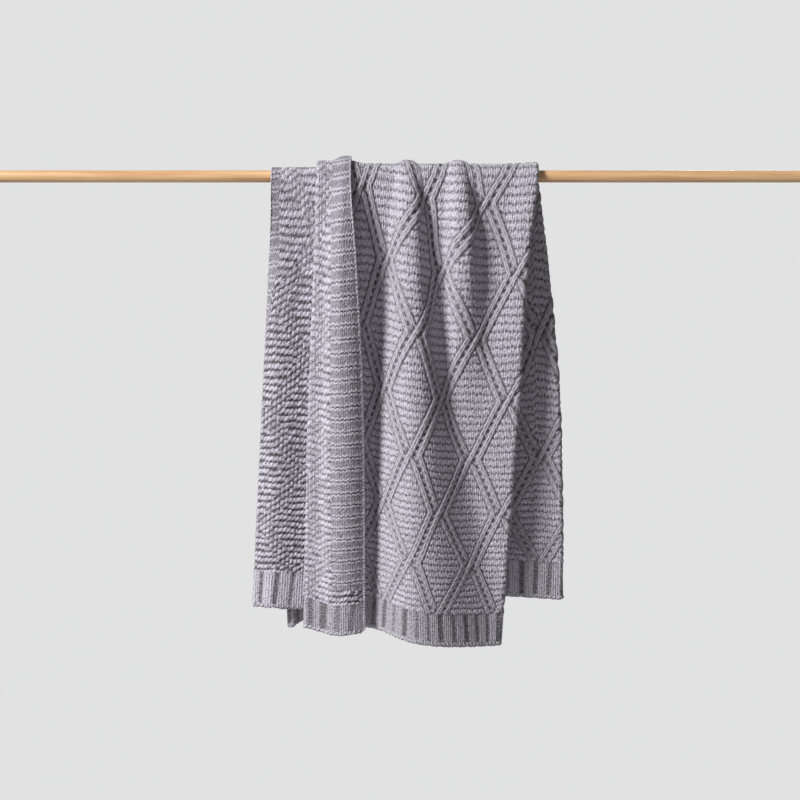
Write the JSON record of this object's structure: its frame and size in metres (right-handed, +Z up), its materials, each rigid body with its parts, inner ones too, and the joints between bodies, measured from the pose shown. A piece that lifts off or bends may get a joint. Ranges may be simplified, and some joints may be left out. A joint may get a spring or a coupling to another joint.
{
  "type": "knitted chenille throw hanging over a wooden rod",
  "caption": "Cable-knit chenille throw with ribbed hems, folded in half lengthwise and hung over a plain round wooden rod, one free edge turned back as a lapel.",
  "frame": {"origin": "middle of the rod's axis, above the middle of the space that the part was laid out in", "axes": "+X along the rod, -Y to the front of the hanging throw, +Z up"},
  "size_m": [1.54, 0.1732, 0.8954],
  "materials": {
    "chenille": "soft matte lavender-grey chenille knit",
    "pale_wood": "smooth clear-finished pale wood"
  },
  "bodies": {
    "root": {"throw": "chenille", "rod": "pale_wood"}
  },
  "joints": []
}
